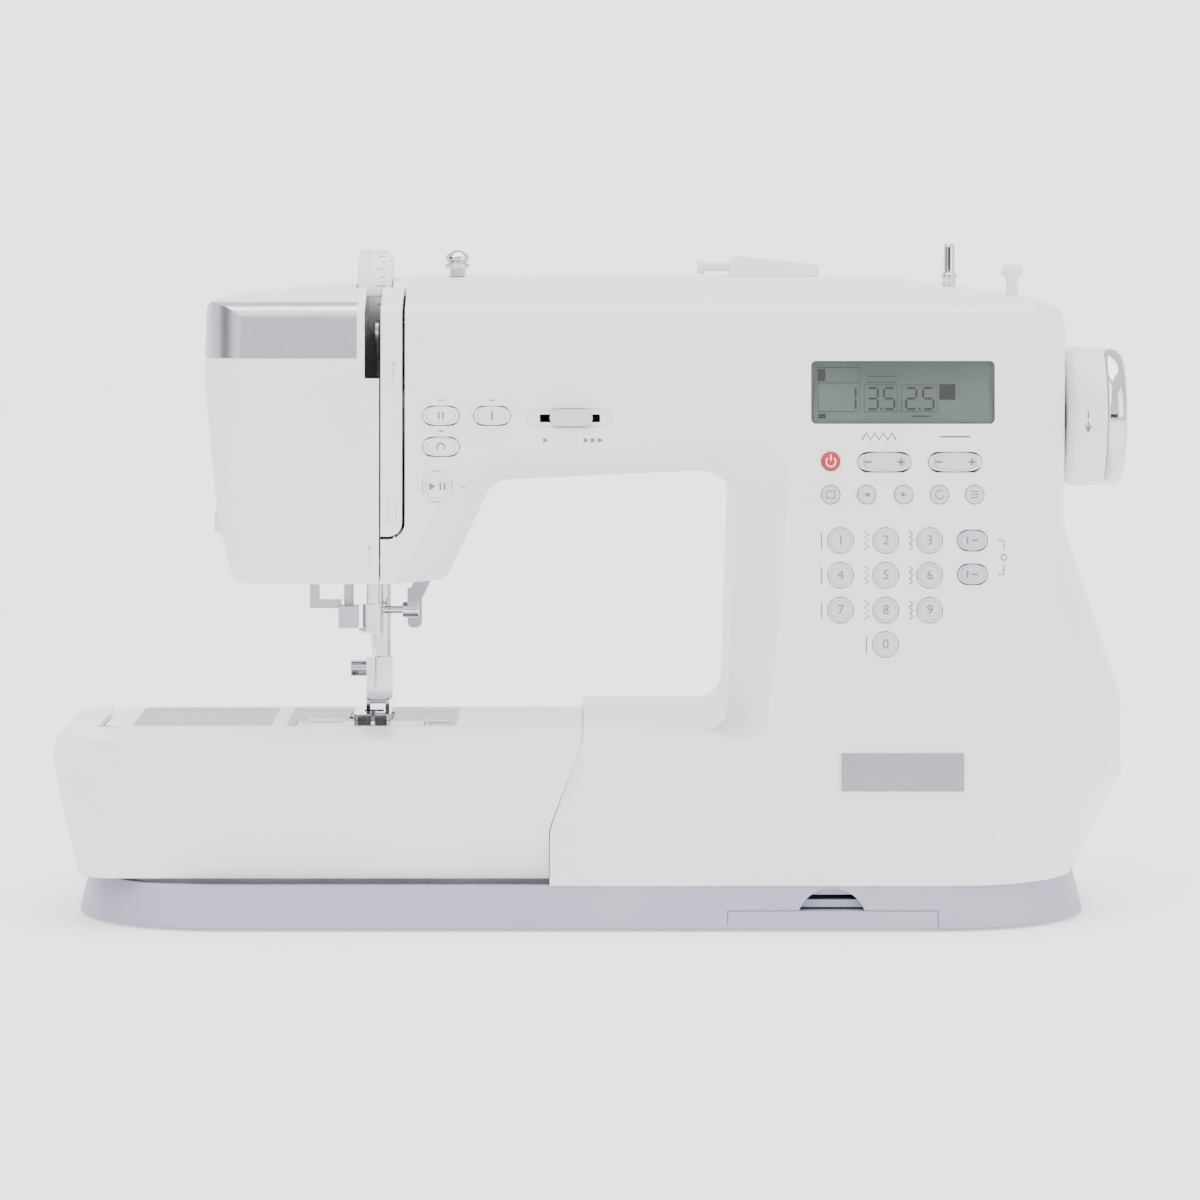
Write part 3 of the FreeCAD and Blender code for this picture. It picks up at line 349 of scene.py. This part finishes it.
finishes = {
    "base_tray": baseGrey, "chart_drawer": baseGrey, "rubber_feet": feetRubber,
    "front_cover": shellWhite, "rear_cover": shellWhite, "face_cover": shellWhite,
    "thread_panel": shellWhite, "free_arm_cover": shellWhite, "extension_table": shellWhite,
    "face_band": silverPaint, "free_arm_plate": plateSteel, "needle_plate": plateSteel,
    "bobbin_cover": clearPane, "bobbin_case": darkNylon, "bobbin": clearPane, "rotary_hook": shaftSteel,
    "frame_casting": castMetal, "shaft_bushes": bushBronze, "upper_shaft": shaftSteel,
    "lower_shaft": shaftSteel, "motor": darkNylon, "motor_pulley": shaftSteel, "drive_belts": feetRubber,
    "drive_link": shaftSteel, "needle_bar": brightChrome, "presser_bar": brightChrome,
    "needle_clamp": brightChrome, "needle": brightChrome, "needle_threader": keyGrey,
    "presser_foot": brightChrome, "foot_lifter": keyOval, "take_up_lever": shaftSteel,
    "feed_dogs": shaftSteel, "feed_bar": shaftSteel, "tension_discs": shaftSteel,
    "control_board": boardGreen, "display_module": lcdGrey, "display_window": clearPane,
    "badge_plate": silverPaint, "power_inlet": darkNylon, "sewing_lamp": clearPane,
    "thread_cutter": dialWhite, "spool_housing": shellWhite, "spool_pin": dialWhite,
    "winder_stopper": dialWhite, "winder_spindle": darkNylon, "pretension_guide": brightChrome,
    "speed_slider": keyGrey, "handwheel": dialWhite, "handwheel_ring": brightChrome,
    "tension_dial": dialWhite, "start_stop_button": keyGrey, "reverse_button": keyGrey,
    "needle_button": keyGrey, "tie_off_button": keyGrey, "power_key": redCap, "width_key": keyGrey,
    "length_key": keyGrey, "function_keys": keyGrey, "number_keys": keyGrey,
}
for nodeName, finish in finishes.items():
    data = nodes[nodeName].data
    data.materials.clear()
    data.materials.append(finish)
print("CAD nodes finished:", len(finishes), "left plain:", sorted(set(nodes) - set(finishes)))


# keys and buttons: crowned caps with a soft rim

keyPlan = {
    "numberSize": (10.0, 10.0), "functionSize": (7.2, 7.2), "memorySize": (11.8, 8.0),
    "columns": (98.9, 116.9, 134.4), "rows": (154.8, 141.0, 127.2), "zeroAt": (116.8, 113.6),
    "functionX": (95.0, 109.3, 124.1, 138.4, 152.4), "functionZ": 173.0,
    "memoryX": 151.5, "memoryZ": (154.8, 141.4),
    "proud": 1.1, "crown": 0.35, "figureSize": 5.4,
}


def buildKeypad(plan):
    spots = [(x, z) for z in plan["rows"] for x in plan["columns"]] + [plan["zeroAt"]]
    caps, figures = [], []
    proud, crown, body = plan["proud"], plan["crown"], "number_keys_body"
    printed = proud + crown + 0.07  # figures lie just over the crowned caps
    for figure, (x, z) in zip("1234567890", spots):
        caps.append(keyCap("cap" + figure, x, z, *plan["numberSize"], proud, crown, 2.15, keyGrey, body))
        figures.append(legend("figure" + figure, figure, x, z, plan["figureSize"], markInk, body, printed))
    pad = joinPieces("numberKeyCaps", caps)
    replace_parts(pad, "number_keys")
    joinPieces("numberKeyFigures", figures)
    ovals = [keyCap("ovalKey%d" % i, plan["memoryX"], z, *plan["memorySize"], proud, 0.3, 2.3, keyOval, body)
             for i, z in enumerate(plan["memoryZ"])]
    joinPieces("memoryKeyCaps", ovals)
    size, z = plan["functionSize"], plan["functionZ"]
    rounds = [keyCap("roundKey%d" % i, x, z, *size, proud, 0.3, 2.05, keyGrey, "function_keys_body")
              for i, x in enumerate(plan["functionX"])]
    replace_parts(joinPieces("functionKeyCaps", rounds), "function_keys")


buildKeypad(keyPlan)

buttonPlan = {
    "powerCap": ("power_key", 95.0, 186.2, 7.2, 7.2, 1.2, 2.05, redCap),
    "widthRocker": ("width_key", 116.4, 185.9, 21.0, 7.6, 1.3, 3.0, keyGrey),
    "lengthRocker": ("length_key", 144.6, 185.9, 21.0, 7.6, 1.3, 3.0, keyGrey),
    "reverseCap": ("reverse_button", -60.4, 204.3, 14.4, 7.4, 1.3, 2.7, pearlWhite),
    "needleCap": ("needle_button", -40.1, 204.3, 14.4, 7.4, 1.3, 2.7, pearlWhite),
    "tieOffCap": ("tie_off_button", -60.4, 192.0, 14.4, 7.4, 1.3, 2.7, pearlWhite),
    "startStopCap": ("start_stop_button", -62.0, 176.2, 11.6, 12.0, 1.8, 2.4, pearlWhite),
}
for pieceName, (nodeName, x, z, width, height, proud, power, finish) in buttonPlan.items():
    deep = 1.2 if nodeName == "start_stop_button" else 3.4  # the board sits close behind this one
    cap = keyCap(pieceName, x, z, width, height, proud, 0.4, power, finish, nodeName + "_body", depth=deep)
    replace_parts(cap, nodeName)
print("keys and buttons built")


bobbinWindowPlan = {"x1": -117.3, "x2": -102.6, "y1": -20.0, "y2": -8.0, "lift": 0.12, "corner": 1.6}


def buildBobbinWindow(plan):
    # rounded dark pane let into the slide plate, a rounded rectangle drawn as four quarter circles
    turns = np.linspace(0, np.pi / 2, 7)
    inset = plan["corner"]
    rim = []
    left, right = plan["x1"] + inset, plan["x2"] - inset
    near, far = plan["y1"] + inset, plan["y2"] - inset
    for k, (x, y) in enumerate(((right, far), (left, far), (left, near), (right, near))):
        a = turns + k * np.pi / 2
        rim.append(np.stack([x + inset * np.cos(a), y + inset * np.sin(a)], -1))
    rim = np.concatenate(rim)
    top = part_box("bobbin_cover")[1][2] / mm + plan["lift"]
    points = np.column_stack([rim, np.full(len(rim), top)])
    makePiece("bobbinWindow", points * mm, [tuple(range(len(rim)))], smokedPane, "slide_plate", smooth=False)


buildBobbinWindow(bobbinWindowPlan)


# printed signs beside the keys

signPlan = {"fine": 0.45, "bold": 0.7, "thread": 0.32}  # stroke widths


def stitchSigns(plan):
    fine, bold = plan["fine"], plan["bold"]
    strokes = []
    zigzag = np.array([(107.5 + i * 1.7, 194.8 + (2.6 if i % 2 else 0)) for i in range(9)])
    strokes.append((zigzag, bold, False))
    strokes.append((np.array([(138.6, 196.0), (150.6, 196.0)]), bold, False))
    spots = [(x, z) for z in keyPlan["rows"] for x in keyPlan["columns"]] + [keyPlan["zeroAt"]]
    for i, (x, z) in enumerate(spots):
        left = x - 7.6
        if i % 3 == 0:  # plain seam
            strokes.append((np.array([(left, z - 3.4), (left, z + 3.4)]), fine, False))
        elif i % 3 == 1:  # zigzag
            teeth = [(left + (0.9 if k % 2 else -0.9), z - 3.6 + k * 1.2) for k in range(7)]
            strokes.append((np.array(teeth), fine, False))
        else:  # scallops
            t = np.linspace(0, 3 * np.pi, 30)
            shells = np.stack([left - 0.6 + 1.3 * np.abs(np.sin(t)), z - 3.6 + 7.2 * t / t[-1]], -1)
            strokes.append((shells, fine, False))
    for x, z, wide in ((-60.4, 204.3, 2.2), (-60.4, 192.0, 1.8), (-40.1, 204.3, 1.8)):
        strokes.append((np.array([(x - wide / 2, z + 6.2), (x + wide / 2, z + 6.2)]), fine, False))
    strokes.append((np.array([(-52.6, 176.2), (-50.6, 176.2)]), fine, False))
    return marks("stitchSigns", strokes, markInk, "machine")


def triangles(name, spots, size, material):
    points, faces, half = [], [], size / 2
    corners = ((-half, -half), (half, 0), (-half, half))
    for x, z in spots:
        base = len(points)
        points += [toFront(x + dx, upSlope(z) + dz, 0.06) for dx, dz in corners]
        faces.append((base, base + 1, base + 2))
    piece = makePiece(name, np.array(points), faces, material, "machine", smooth=False)
    fixNormals(piece)


def trace(*points):
    # a straight or bent path across and up the front
    return np.array(points)


def capSigns(plan):
    # what is printed on the caps themselves; each sign moves with its cap
    fine, bold = plan["fine"], plan["bold"]
    for name, x in (("widthSigns", 116.4), ("lengthSigns", 144.6)):
        body = "width_key_body" if name == "widthSigns" else "length_key_body"
        minus = (trace((x - 8.0, 185.9), (x - 5.2, 185.9)), bold, False)
        plus = (trace((x + 5.2, 185.9), (x + 8.0, 185.9)), bold, False)
        cross = (trace((x + 6.6, 184.5), (x + 6.6, 187.3)), bold, False)
        marks(name, [minus, plus, cross], markInk, body, out=1.72)
    power = [(arc(95.0, 186.0, 1.9, 130, 410), 0.5, False), (trace((95.0, 186.4), (95.0, 188.8)), 0.5, False)]
    marks("powerSign", power, signWhite, "power_key_body", out=1.66)
    xs, z = keyPlan["functionX"], keyPlan["functionZ"]
    left, right, low, high = xs[0] - 1.6, xs[0] + 1.6, z - 1.4, z + 1.4
    page = [(trace((left, low), (left, high), (right, high), (right, low)), fine, True)]
    rows = (-2, -1, 0, 1, 2)
    back = [(trace((xs[1] + 1.1, z + k * 0.5), (xs[1] - 1.2 + abs(k) * 1.1, z + k * 0.5)), fine, False)
            for k in rows]
    ahead = [(trace((xs[2] - 1.1, z + k * 0.5), (xs[2] + 1.2 - abs(k) * 1.1, z + k * 0.5)), fine, False)
             for k in rows]
    loop = [(arc(xs[3], z, 1.7, 40, 350), fine, False)]
    grid = [(trace((xs[4] - 1.6, z + k), (xs[4] + 1.6, z + k)), fine, False) for k in (-1.2, 0, 1.2)]
    marks("functionSigns", page + back + ahead + loop + grid, markInk, "function_keys_body", out=1.5)
    ovalSigns = []
    for z in keyPlan["memoryZ"]:
        ovalSigns.append((trace((149.4, z - 1.4), (149.4, z + 1.4)), bold, False))
        ovalSigns.append((trace((151.2, z), (153.6, z)), bold, False))
    marks("ovalSigns", ovalSigns, markInk, "number_keys_body", out=1.46)
    bracket = (trace((161.6, 154.8), (164.0, 154.8), (164.0, 151.0)), fine, False)
    lower = (trace((161.6, 141.4), (164.0, 141.4), (164.0, 145.2)), fine, False)
    ring = (arc(164.0, 148.1, 1.1, 0, 350), fine, False)
    marks("ovalBracket", [bracket, lower, ring], markInk, "machine")
    needle = [(trace((-40.1, 202.6), (-40.1, 206.0)), 0.7, False)]
    marks("needleSign", needle, markInk, "needle_button_body", out=1.76)
    reverse = [(trace((x, 202.8), (x, 205.8)), 0.6, False) for x in (-61.2, -59.6)]
    marks("reverseSign", reverse, markInk, "reverse_button_body", out=1.76)
    tie = [(arc(-60.4, 191.8, 1.5, -40, 220), 0.55, False)]
    marks("tieOffSign", tie, markInk, "tie_off_button_body", out=1.76)
    bars = [(trace((x, 174.8), (x, 177.6)), 0.7, False) for x in (-60.6, -58.9)]
    wedge = [(trace((-65.0, 176.2 + k * 0.35), (-62.6 - abs(k) * 0.55, 176.2 + k * 0.35)), 0.36, False)
             for k in range(-4, 5)]
    marks("startSigns", bars + wedge, markInk, "start_stop_button_body", out=2.26)


def threadSigns(plan):
    # thread route printed beside the channels
    fine = plan["thread"]
    strokes = [(trace((-79.4, 218.0), (-79.4, 226.0)), fine, False)]
    strokes.append((trace((-80.3, 223.8), (-79.4, 226.0), (-78.5, 223.8)), fine, False))
    turn = arc(-80.0, 164.0, 1.7, 180, 360)
    strokes.append((np.vstack([[(-81.7, 171.0)], turn, [(-78.3, 168.0)]]), fine, False))
    strokes.append((trace((-79.2, 170.6), (-78.3, 172.4), (-77.4, 170.6)), fine, False))
    strokes.append((trace((-88.8, 145.0), (-88.8, 153.0)), fine, False))
    strokes.append((trace((-89.6, 151.0), (-88.8, 153.0), (-88.0, 151.0)), fine, False))
    marks("threadSigns", strokes, lightInk, "machine")


capSigns(signPlan)
threadSigns(signPlan)
stitchSigns(signPlan)
triangles("speedArrows", [(-18.6, 194.6), (-2.4, 194.6), (0.4, 194.6), (3.2, 194.6)], 2.2, markInk)
print("signs printed")


# display: segment figures on the grey panel, behind the clear window

lcdPlan = {"figureHeight": 11.0, "figureWidth": 5.6, "stroke": 0.8, "out": -1.25}
segmentsOf = {"1": "bc", "2": "abged", "3": "abgcd", "5": "afgcd"}


def segmentStrokes(figure, x, z, height, width, thick):
    w, h, g = width / 2, height / 2, thick * 0.55
    spans = {
        "a": ((-w + g, h), (w - g, h)), "b": ((w, h - g), (w, g)), "c": ((w, -g), (w, -h + g)),
        "d": ((-w + g, -h), (w - g, -h)), "e": ((-w, -g), (-w, -h + g)), "f": ((-w, h - g), (-w, g)),
        "g": ((-w + g, 0), (w - g, 0)),
    }
    lit = [spans[key] for key in segmentsOf[figure]]
    return [(np.array([(x + p[0], z + p[1]) for p in span]), thick, False) for span in lit]


def displayFigures(plan):
    h, w, t = plan["figureHeight"], plan["figureWidth"], plan["stroke"]
    strokes = segmentStrokes("1", 102.6, 211.2, h * 0.82, w * 0.86, t)
    for x, figure in ((111.8, "3"), (118.4, "5"), (127.2, "2"), (134.0, "5")):
        strokes += segmentStrokes(figure, x, 211.2, h * 0.76, w * 0.74, t)
    for x in (115.1, 130.6):
        strokes.append((np.array([(x - 0.4, 207.2), (x + 0.4, 207.2)]), 0.8, False))
    boxes = (
        (90.0, 106.6, 217.4, 223.6), (90.0, 106.6, 206.0, 217.4), (108.4, 121.6, 206.0, 216.6),
        (123.2, 137.6, 206.0, 216.6), (110.0, 121.0, 217.6, 220.0),
    )
    for x1, x2, z1, z2 in boxes:
        strokes.append((np.array([(x1, z1), (x2, z1), (x2, z2), (x1, z2)]), 0.28, True))
    blocks = ((91.4, 220.5, 3.0, 4.8), (141.6, 213.8, 6.4, 6.2), (91.6, 204.2, 3.0, 1.8))
    for x, z, wide, high in blocks:
        strokes.append((np.array([(x - wide / 2, z), (x + wide / 2, z)]), high, False))
    strokes.append((np.array([(127.4, 204.2), (135.0, 204.2)]), 0.5, False))
    return marks("displayFigures", strokes, lcdInk, "machine", out=plan["out"])


displayFigures(lcdPlan)
print("display drawn")


# handwheel, chrome rim and tension dial, turned on a lathe

wheelPlan = {"x1": 193.5, "x2": 209.6, "rim": 28.6, "flutes": 60, "fluteDepth": 0.25, "axisZ": 200.5}


def buildWheel(plan):
    x1, r, centre = plan["x1"], plan["rim"], (0, plan["axisZ"])
    outer = softProfile([
        (202, 0.2), (202, 9.5), (196.2, 12), (x1, 16), (x1, 26.2), (196.4, r + 0.3), (203, r), (209.4, r - 0.6),
        (plan["x2"], 27.6), (plan["x2"], 0.2),
    ], 1.6)
    flutes, deep = plan["flutes"], plan["fluteDepth"]
    wheel = lathe("gripWheel", "x", centre, outer, dialWhite, "wheel_train", 240, flutes, deep, (197.5, 207.8))
    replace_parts(wheel, "handwheel")
    rim = softProfile([
        (209.65, 0.2), (209.65, 27.9), (211.6, 28.4), (214.6, 28.2), (217.2, 26.6), (218.2, 23.6), (217.4, 20.0),
        (215.4, 17.0), (214.6, 12.0), (214.6, 0.2),
    ], 1.4)
    ring = lathe("chromeRim", "x", centre, rim, brightChrome, "wheel_train", 160)
    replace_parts(ring, "handwheel_ring")
    cap = softProfile([(214.65, 0.2), (214.65, 11.4), (215.9, 10.8), (216.4, 6.0), (216.5, 0.2)], 0.6)
    lathe("wheelCap", "x", centre, cap, dialWhite, "wheel_train", 96)


buildWheel(wheelPlan)


def wheelArrow(plan):
    # which way the wheel turns: a thin arrow laid round the rim
    shaft = np.array([(201.5, 204.0), (201.5, 196.4)])
    head = np.array([(200.4, 198.4), (201.5, 195.6), (202.6, 198.4)])
    points, faces, base = [], [], 0
    for path, width in ((shaft, 0.55), (head, 0.6)):
        side = np.concatenate([path, path])
        side[:, 0] += np.repeat([width / 2, -width / 2], len(path))
        y = -np.sqrt((plan["rim"] + 0.22) ** 2 - (side[:, 1] - plan["axisZ"]) ** 2)
        points.append(np.stack([side[:, 0], y, side[:, 1]], -1))
        faces += [tuple(base + k for k in q) for q in stroke(path, width)[1]]
        base += len(side)
    arrow = makePiece("wheelArrow", np.concatenate(points) * mm, faces, markInk, "wheel_train", smooth=False)
    fixNormals(arrow)


wheelArrow(wheelPlan)

dialPlan = {"x1": -94.8, "x2": -81.2, "y": -20.0, "z": 251.5, "radius": 18.0, "ribs": 72}


def buildDial(plan):
    a, b, r = plan["x1"], plan["x2"], plan["radius"]
    profile = softProfile([
        (a, 3.2), (a, r - 1.4), (a + 1.2, r), (a + 4.6, r), (a + 4.9, r - 0.35), (b - 1.6, r - 0.35), (b, r - 1.6),
        (b, 3.2),
    ], 0.5)
    centre, ribbed = (plan["y"], plan["z"]), (a + 1.0, a + 4.4)
    dial = lathe("tensionWheel", "x", centre, profile, dialWhite, "dial", 288, plan["ribs"], 0.28, ribbed)
    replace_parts(dial, "tension_dial")
    ticks, faces = [], []
    for i, turn in enumerate(np.radians(np.arange(-60, 300, 12))):
        long = 3.4 if i % 2 == 0 else 2.0
        start, end, before, after = b - 2.4 - long, b - 2.4, turn - 0.012, turn + 0.012
        for x, t in ((start, before), (end, before), (end, after), (start, after)):
            ticks.append((x, plan["y"] - (r - 0.27) * math.cos(t), plan["z"] + (r - 0.27) * math.sin(t)))
        faces.append(tuple(range(4 * i, 4 * i + 4)))
    makePiece("dialTicks", np.array(ticks) * mm, faces, markInk, "dial", smooth=False)


buildDial(dialPlan)

spindlePlan = {"x": 145.2, "y": -18.0, "stopAt": (171.0, -18.0), "guideAt": (-55.0, -18.0)}


def buildSpindle(plan):
    centre = (plan["x"], plan["y"])
    post = softProfile([
        (222, 0.2), (222, 2.8), (257.6, 2.8), (258.0, 3.3), (259.4, 3.3), (259.8, 2.3), (270.8, 2.3), (272.0, 1.5),
        (272.0, 0.2),
    ], 0.4)
    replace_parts(lathe("winderPost", "z", centre, post, brightChrome, "winder", 48), "winder_spindle")
    # the slot is not cut: a thin dark quad in the black nylon finish, just proud of the post, is painted shade
    # standing in for the slot
    slot = np.array([(dx, dz) for dz in (261.0, 270.4) for dx in (-0.35, 0.35)])
    slotShadeQuad = np.stack([plan["x"] + slot[:, 0], np.full(4, plan["y"] - 2.34), slot[:, 1]], -1)
    makePiece("winderSlotShade", slotShadeQuad * mm, [(0, 1, 3, 2)], darkNylon, "winder", smooth=False)
    wheel = softProfile([(233, 0.2), (233, 13), (239, 13), (239, 0.2)], 0.6)
    lathe("winderWheel", "z", centre, wheel, feetRubber, "winder", 64)
    stopper = softProfile([
        (244, 0.2), (244, 2.5), (258.2, 2.5), (258.5, 4.4), (260.2, 4.7), (262.6, 4.2), (263.6, 3.0), (263.7, 0.2),
    ], 0.7)
    stop = lathe("winderStop", "z", plan["stopAt"], stopper, dialWhite, "machine", 64)
    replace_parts(stop, "winder_stopper")
    discs = softProfile([
        (248, 0.2), (248, 2.2), (258.4, 2.2), (258.6, 3.6), (261.8, 3.4), (262.0, 5.0), (263.2, 5.2), (264.3, 3.8),
        (265.4, 5.2), (266.8, 5.0), (268.2, 3.4), (269.2, 1.4), (269.3, 0.2),
    ], 0.35)
    guide = lathe("bobbinThreadGuide", "z", plan["guideAt"], discs, brightChrome, "machine", 72)
    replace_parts(guide, "pretension_guide")


buildSpindle(spindlePlan)
print("turned pieces built")


# floor, light and camera

studioPlan = {
    "floor": "F7F7F8", "floorHalf": 4.0, "floorGrid": 33, "floorGlow": 0.55,
    "keyWatts": 27, "fillWatts": 13, "topWatts": 30, "worldLevel": 1.5,
}
cameraPlan = {"at": (0.003, -2.1, 0.313), "tilt": 90 - 5.13, "lens": 153.0, "sensor": 36.0}


def buildStudio(plan):
    half, n = plan["floorHalf"], plan["floorGrid"]
    u, v = np.meshgrid(np.linspace(-half, half, n), np.linspace(-3.0, 1.6, n), indexing="ij")
    # the floor curves up into a backdrop; a camera behind the backdrop sees only its back
    rise = np.clip(v - 0.9, 0, None) ** 2 * 2.2
    mesh = bpy.data.meshes.new("floor")
    i, j = np.meshgrid(np.arange(n - 1), np.arange(n - 1), indexing="ij")
    quads = np.stack([i * n + j, (i + 1) * n + j, (i + 1) * n + j + 1, i * n + j + 1], -1).reshape(-1, 4)
    mesh.from_pydata(np.stack([u, v, rise], -1).reshape(-1, 3).tolist(), [], quads.tolist())
    floor = bpy.data.objects.new("floor", mesh)
    bpy.context.collection.objects.link(floor)
    paper, tree, shader, place = startMaterial("floorPaper", plan["floor"], 0.9)
    grainBump(tree, shader, place, 2.0, 0.01)
    shader.inputs["Emission Color"].default_value = (1, 1, 1, 1)  # lit from below, as a white sweep is
    shader.inputs["Emission Strength"].default_value = plan["floorGlow"]
    mesh.materials.append(paper)
    world = bpy.data.worlds.new("studio")
    bpy.context.scene.world = world
    world.use_nodes = True
    sky = world.node_tree.nodes["Background"]
    sky.inputs["Color"].default_value = (1, 1, 1, 1)
    sky.inputs["Strength"].default_value = plan["worldLevel"]
    card, tree, shader, place = startMaterial("cardBlack", "17171C", 0.9)  # black cards that chrome mirrors
    grainBump(tree, shader, place, 4.0, 0.05)
    cards = {
        "frontCard": ((-1.6, -3.6, 0.24), (1.6, -3.6, 0.24), (1.6, -3.6, 0.62), (-1.6, -3.6, 0.62)),
        "sideCard": ((-2.4, -1.9, 0.0), (-2.4, -0.5, 0.0), (-2.4, -0.5, 1.3), (-2.4, -1.9, 1.3)),
    }
    for name, corners in cards.items():
        sheet = bpy.data.meshes.new(name)
        sheet.from_pydata(corners, [], [(0, 1, 2, 3)])
        sheet.materials.append(card)
        board = bpy.data.objects.new(name, sheet)
        bpy.context.collection.objects.link(board)
    for name, where, size, watts in (
        ("keyLight", (-1.1, -1.5, 1.7), 1.6, plan["keyWatts"]),
        ("fillLight", (1.6, -1.2, 0.9), 1.4, plan["fillWatts"]),
        ("topLight", (0.1, 0.1, 1.9), 1.5, plan["topWatts"]),
    ):
        lamp = bpy.data.lights.new(name, "AREA")
        lamp.energy, lamp.size = watts, size
        holder = bpy.data.objects.new(name, lamp)
        holder.location = where
        holder.rotation_euler = (Vector((0, 0, 0.12)) - Vector(where)).to_track_quat("-Z", "Y").to_euler()
        bpy.context.collection.objects.link(holder)


def placeCamera(plan):
    lens = bpy.data.cameras.new("camera")
    lens.sensor_width, lens.lens = plan["sensor"], plan["lens"]
    lens.clip_end = 20
    holder = bpy.data.objects.new("camera", lens)
    holder.location = plan["at"]
    holder.rotation_euler = (math.radians(plan["tilt"]), 0, 0)
    bpy.context.collection.objects.link(holder)
    bpy.context.scene.camera = holder


buildStudio(studioPlan)
placeCamera(cameraPlan)
print("studio and camera set")
